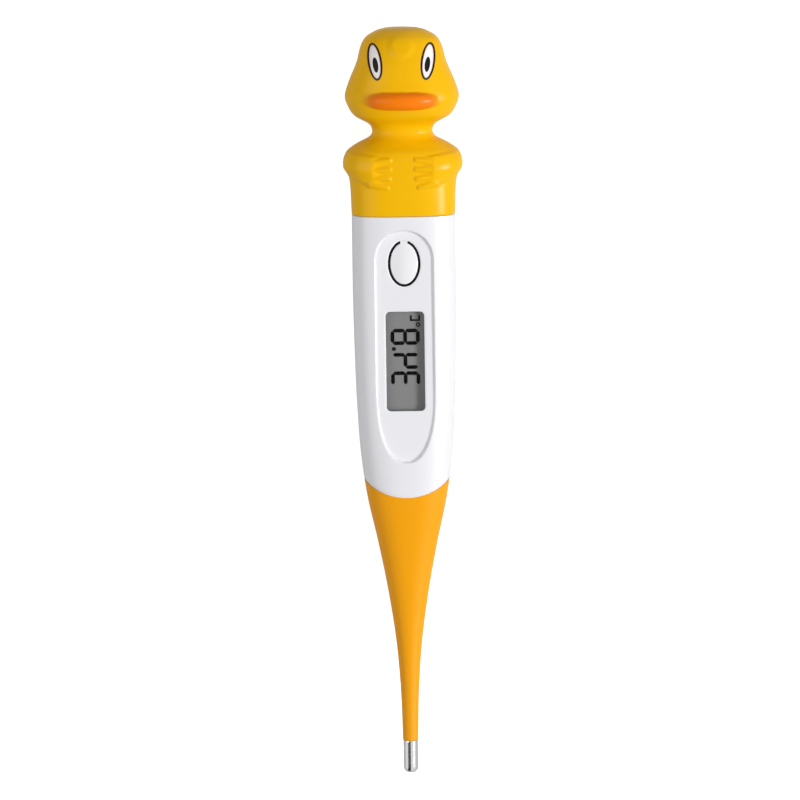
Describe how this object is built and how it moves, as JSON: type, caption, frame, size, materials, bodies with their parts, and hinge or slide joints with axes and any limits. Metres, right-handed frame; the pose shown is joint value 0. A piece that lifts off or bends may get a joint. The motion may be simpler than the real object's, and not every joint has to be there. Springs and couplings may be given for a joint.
{
  "type": "digital thermometer",
  "caption": "Flexible-tip digital thermometer with a duck-shaped pull-off battery cap, a push button and a sunk display window.",
  "frame": {"origin": "centre of the bounding box in X and Y, on the flat back that it lies on", "axes": "+Z out of the display side, +Y towards the duck head, +X to the right with the display facing the viewer and the head up"},
  "size_m": [0.0238, 0.15, 0.0163],
  "materials": {
    "white_abs": "satin moulded ABS",
    "button_abs": "satin moulded ABS",
    "clear_lens": "clear polycarbonate",
    "black_silicone": "matte silicone",
    "spring_steel": "bright",
    "chassis_abs": "moulded ABS",
    "green_board": "solder mask",
    "lcd_glass": "polarised glass",
    "reflector_film": "silver film",
    "zebra_rubber": "layered silicone",
    "black_epoxy": "potting blob",
    "ceramic_chip": "fired ceramic",
    "brass_disc": "bright",
    "gilt_contact": "plated spring leaf",
    "cell_steel": "nickel plated",
    "yellow_vinyl": "satin moulded vinyl with printed eyes and sprayed bill",
    "plug_abs": "moulded ABS",
    "orange_tpe": "satin thermoplastic rubber",
    "tip_steel": "polished stainless steel",
    "bead_glass": "glass bead",
    "epoxy_fill": "epoxy",
    "lead_enamel": "enamelled wire"
  },
  "bodies": {
    "body": {"body_shell": "white_abs", "window_lens": "clear_lens", "button_seal": "black_silicone", "switch_dome": "spring_steel", "chassis": "chassis_abs", "circuit_board": "green_board", "lcd_panel": "lcd_glass", "lcd_reflector": "reflector_film", "lcd_frame": "chassis_abs", "zebra_strips": "zebra_rubber", "chip_blob": "black_epoxy", "smd_components": "ceramic_chip", "piezo_buzzer": "brass_disc", "contact_positive": "gilt_contact", "contact_negative": "gilt_contact", "stem_base": "orange_tpe", "lead_wires_0": "lead_enamel"},
    "button": {"power_button": "button_abs"},
    "drawer": {"battery_drawer": "chassis_abs", "battery": "cell_steel"},
    "cap": {"duck_cap": "yellow_vinyl", "cap_plug": "plug_abs", "cap_seal_ring": "black_silicone"},
    "stem_1": {"stem_link_1": "orange_tpe", "lead_wires_1": "lead_enamel"},
    "stem_2": {"stem_link_2": "orange_tpe", "lead_wires_2": "lead_enamel"},
    "stem_3": {"stem_link_3": "orange_tpe", "lead_wires_3": "lead_enamel"},
    "stem_4": {"stem_link_4": "orange_tpe", "lead_wires_4": "lead_enamel"},
    "stem_5": {"stem_link_5": "orange_tpe", "lead_wires_5": "lead_enamel"},
    "stem_6": {"stem_link_6": "orange_tpe", "lead_wires_6": "lead_enamel"},
    "stem_7": {"stem_link_7": "orange_tpe", "lead_wires_7": "lead_enamel"},
    "stem_8": {"stem_link_8": "orange_tpe", "lead_wires_8": "lead_enamel", "probe_tip": "tip_steel", "thermistor": "bead_glass", "tip_filler": "epoxy_fill"}
  },
  "joints": [
    {"name": "cap_pull", "type": "slide", "parent": "body", "child": "cap", "axis": [0, 1, 0], "range_m": [0, 0.036]},
    {"name": "drawer_slide", "type": "slide", "parent": "body", "child": "drawer", "axis": [0, 1, 0], "range_m": [0, 0.0102]},
    {"name": "button_press", "type": "hinge", "parent": "body", "child": "button", "pos_m": [0, 0.0332, 0.0112], "axis": [1, 0, 0], "range_deg": [0, 3], "stiffness_Nm_per_rad": 0.05, "deforming": ["button_seal", "switch_dome"]},
    {"name": "stem_side_1", "type": "hinge", "parent": "body", "child": "stem_1", "pos_m": [0, -0.0225, 0.006], "axis": [0, 0, 1], "range_deg": [-8, 8], "stiffness_Nm_per_rad": 0.1},
    {"name": "stem_lift_2", "type": "hinge", "parent": "stem_1", "child": "stem_2", "pos_m": [0, -0.02999, 0.006], "axis": [1, 0, 0], "range_deg": [-10, 10], "stiffness_Nm_per_rad": 0.08},
    {"name": "stem_side_3", "type": "hinge", "parent": "stem_2", "child": "stem_3", "pos_m": [0, -0.0368, 0.006], "axis": [0, 0, 1], "range_deg": [-14, 14], "stiffness_Nm_per_rad": 0.056},
    {"name": "stem_lift_4", "type": "hinge", "parent": "stem_3", "child": "stem_4", "pos_m": [0, -0.043, 0.006], "axis": [1, 0, 0], "range_deg": [-16, 16], "stiffness_Nm_per_rad": 0.04},
    {"name": "stem_side_5", "type": "hinge", "parent": "stem_4", "child": "stem_5", "pos_m": [0, -0.04864, 0.006], "axis": [0, 0, 1], "range_deg": [-20, 20], "stiffness_Nm_per_rad": 0.028},
    {"name": "stem_lift_6", "type": "hinge", "parent": "stem_5", "child": "stem_6", "pos_m": [0, -0.05378, 0.006], "axis": [1, 0, 0], "range_deg": [-22, 22], "stiffness_Nm_per_rad": 0.02},
    {"name": "stem_side_7", "type": "hinge", "parent": "stem_6", "child": "stem_7", "pos_m": [0, -0.05845, 0.006], "axis": [0, 0, 1], "range_deg": [-25, 25], "stiffness_Nm_per_rad": 0.016},
    {"name": "stem_lift_8", "type": "hinge", "parent": "stem_7", "child": "stem_8", "pos_m": [0, -0.0627, 0.006], "axis": [1, 0, 0], "range_deg": [-26, 26], "stiffness_Nm_per_rad": 0.016}
  ],
  "couplings": [
    {"joint": "drawer_slide", "follows": "cap_pull", "ratio": 0.28},
    {"joint": "stem_side_3", "follows": "stem_side_1", "ratio": 1.75},
    {"joint": "stem_side_5", "follows": "stem_side_1", "ratio": 2.5},
    {"joint": "stem_side_7", "follows": "stem_side_1", "ratio": 3.125},
    {"joint": "stem_lift_4", "follows": "stem_lift_2", "ratio": 1.6},
    {"joint": "stem_lift_6", "follows": "stem_lift_2", "ratio": 2.2},
    {"joint": "stem_lift_8", "follows": "stem_lift_2", "ratio": 2.6}
  ]
}
